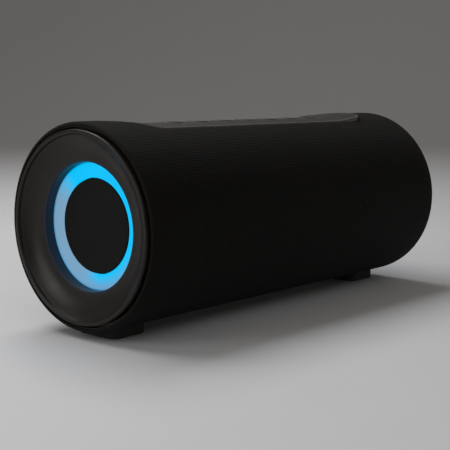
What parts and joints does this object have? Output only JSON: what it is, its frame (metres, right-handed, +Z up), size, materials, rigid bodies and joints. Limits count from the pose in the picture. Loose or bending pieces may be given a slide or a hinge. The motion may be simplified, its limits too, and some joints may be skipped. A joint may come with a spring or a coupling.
{
  "type": "party speaker",
  "caption": "Fabric-covered cylindrical portable party speaker on two feet, with a lit dish in each end, a control panel sunk along the top and a port door behind.",
  "frame": {"origin": "on the floor below the middle of the cylinder", "axes": "+X along the cylinder, -Y towards the listener, +Z up"},
  "size_m": [0.243, 0.1, 0.1038],
  "materials": {
    "dish_plastic": "satin dark charcoal moulding",
    "light_ring": "frosted diffuser, lit cyan to pale lavender",
    "circuit_board": "solder-masked board",
    "lamp": "surface-mounted lamp",
    "disc_black": "matt black disc",
    "diaphragm_plate": "plain sheet",
    "rubber_black": "moulded rubber",
    "frame_plastic": "moulded black plastic",
    "shell_plastic": "moulded black plastic",
    "screw_steel": "black zinc plated",
    "knit_fabric": "ribbed knit, near black",
    "panel_plastic": "satin dark panel",
    "trim_plastic": "polished bead",
    "button_rubber": "soft-touch cap",
    "switch_metal": "switch can",
    "socket_metal": "plated",
    "cell_wrap": "shrink-wrapped cell",
    "cone_paper": "treated paper",
    "magnet_steel": "plated magnet and yoke",
    "coil_copper": "copper winding",
    "wire_sleeve": "wires in a sleeve",
    "foot_rubber": "soft rubber foot"
  },
  "bodies": {
    "cabinet": {"left_dish": "dish_plastic", "right_dish": "dish_plastic", "left_light_ring": "light_ring", "right_light_ring": "light_ring", "left_light_board": "circuit_board", "right_light_board": "circuit_board", "switch_board": "circuit_board", "main_board": "circuit_board", "left_lamps": "lamp", "right_lamps": "lamp", "left_radiator_surround": "rubber_black", "right_radiator_surround": "rubber_black", "left_woofer_surround": "rubber_black", "right_woofer_surround": "rubber_black", "left_radiator_frame": "frame_plastic", "right_radiator_frame": "frame_plastic", "left_woofer_basket": "frame_plastic", "right_woofer_basket": "frame_plastic", "left_tweeter_frame": "frame_plastic", "right_tweeter_frame": "frame_plastic", "radiator_screws": "screw_steel", "case_screws": "screw_steel", "woofer_screws": "screw_steel", "port_hinge_pin": "screw_steel", "fabric_sleeve": "knit_fabric", "grille_frame": "shell_plastic", "front_shell": "shell_plastic", "rear_shell": "shell_plastic", "control_tray": "shell_plastic", "port_tub": "shell_plastic", "battery_holder": "shell_plastic", "left_foot": "foot_rubber", "right_foot": "foot_rubber", "control_panel": "panel_plastic", "panel_trim": "trim_plastic", "button_switches": "switch_metal", "audio_socket": "socket_metal", "charge_socket": "socket_metal", "battery_cells": "cell_wrap", "speaker_loom": "wire_sleeve", "left_woofer_magnet": "magnet_steel", "right_woofer_magnet": "magnet_steel", "left_tweeter_dome": "cone_paper", "right_tweeter_dome": "cone_paper"},
    "left_radiator": {"left_radiator_cap": "disc_black", "left_radiator_diaphragm": "diaphragm_plate"},
    "left_cone": {"left_woofer_cone": "cone_paper", "left_voice_coil": "coil_copper"},
    "right_radiator": {"right_radiator_cap": "disc_black", "right_radiator_diaphragm": "diaphragm_plate"},
    "right_cone": {"right_woofer_cone": "cone_paper", "right_voice_coil": "coil_copper"},
    "power_button": {"power_button": "button_rubber"},
    "pairing_button": {"pairing_button": "button_rubber"},
    "light_button": {"light_button": "button_rubber"},
    "volume_down_button": {"volume_down_button": "button_rubber"},
    "play_button": {"play_button": "button_rubber"},
    "volume_up_button": {"volume_up_button": "button_rubber"},
    "sound_mode_button": {"sound_mode_button": "button_rubber"},
    "door": {"port_door": "shell_plastic"}
  },
  "joints": [
    {"name": "left_radiator_slide", "type": "slide", "parent": "cabinet", "child": "left_radiator", "axis": [-1, 0, 0], "range_m": [-0.0025, 0.0025], "stiffness_N_per_m": 900, "deforming": ["left_radiator_surround"]},
    {"name": "right_radiator_slide", "type": "slide", "parent": "cabinet", "child": "right_radiator", "axis": [1, 0, 0], "range_m": [-0.0025, 0.0025], "stiffness_N_per_m": 900, "deforming": ["right_radiator_surround"]},
    {"name": "left_cone_slide", "type": "slide", "parent": "cabinet", "child": "left_cone", "axis": [0, -1, 0], "range_m": [-0.002, 0.002], "stiffness_N_per_m": 700, "deforming": ["left_woofer_surround"]},
    {"name": "right_cone_slide", "type": "slide", "parent": "cabinet", "child": "right_cone", "axis": [0, -1, 0], "range_m": [-0.002, 0.002], "stiffness_N_per_m": 700, "deforming": ["right_woofer_surround"]},
    {"name": "power_button_press", "type": "slide", "parent": "cabinet", "child": "power_button", "axis": [0, 0, -1], "range_m": [0, 0.0005], "stiffness_N_per_m": 250},
    {"name": "pairing_button_press", "type": "slide", "parent": "cabinet", "child": "pairing_button", "axis": [0, 0, -1], "range_m": [0, 0.0005], "stiffness_N_per_m": 250},
    {"name": "light_button_press", "type": "slide", "parent": "cabinet", "child": "light_button", "axis": [0, 0, -1], "range_m": [0, 0.0005], "stiffness_N_per_m": 250},
    {"name": "volume_down_button_press", "type": "slide", "parent": "cabinet", "child": "volume_down_button", "axis": [0, 0, -1], "range_m": [0, 0.0005], "stiffness_N_per_m": 250},
    {"name": "play_button_press", "type": "slide", "parent": "cabinet", "child": "play_button", "axis": [0, 0, -1], "range_m": [0, 0.0005], "stiffness_N_per_m": 250},
    {"name": "volume_up_button_press", "type": "slide", "parent": "cabinet", "child": "volume_up_button", "axis": [0, 0, -1], "range_m": [0, 0.0005], "stiffness_N_per_m": 250},
    {"name": "sound_mode_button_press", "type": "slide", "parent": "cabinet", "child": "sound_mode_button", "axis": [0, 0, -1], "range_m": [0, 0.0005], "stiffness_N_per_m": 250},
    {"name": "door_hinge", "type": "hinge", "parent": "cabinet", "child": "door", "pos_m": [0, 0.0483, 0.048], "axis": [-1, 0, 0], "range_deg": [0, 90]}
  ]
}
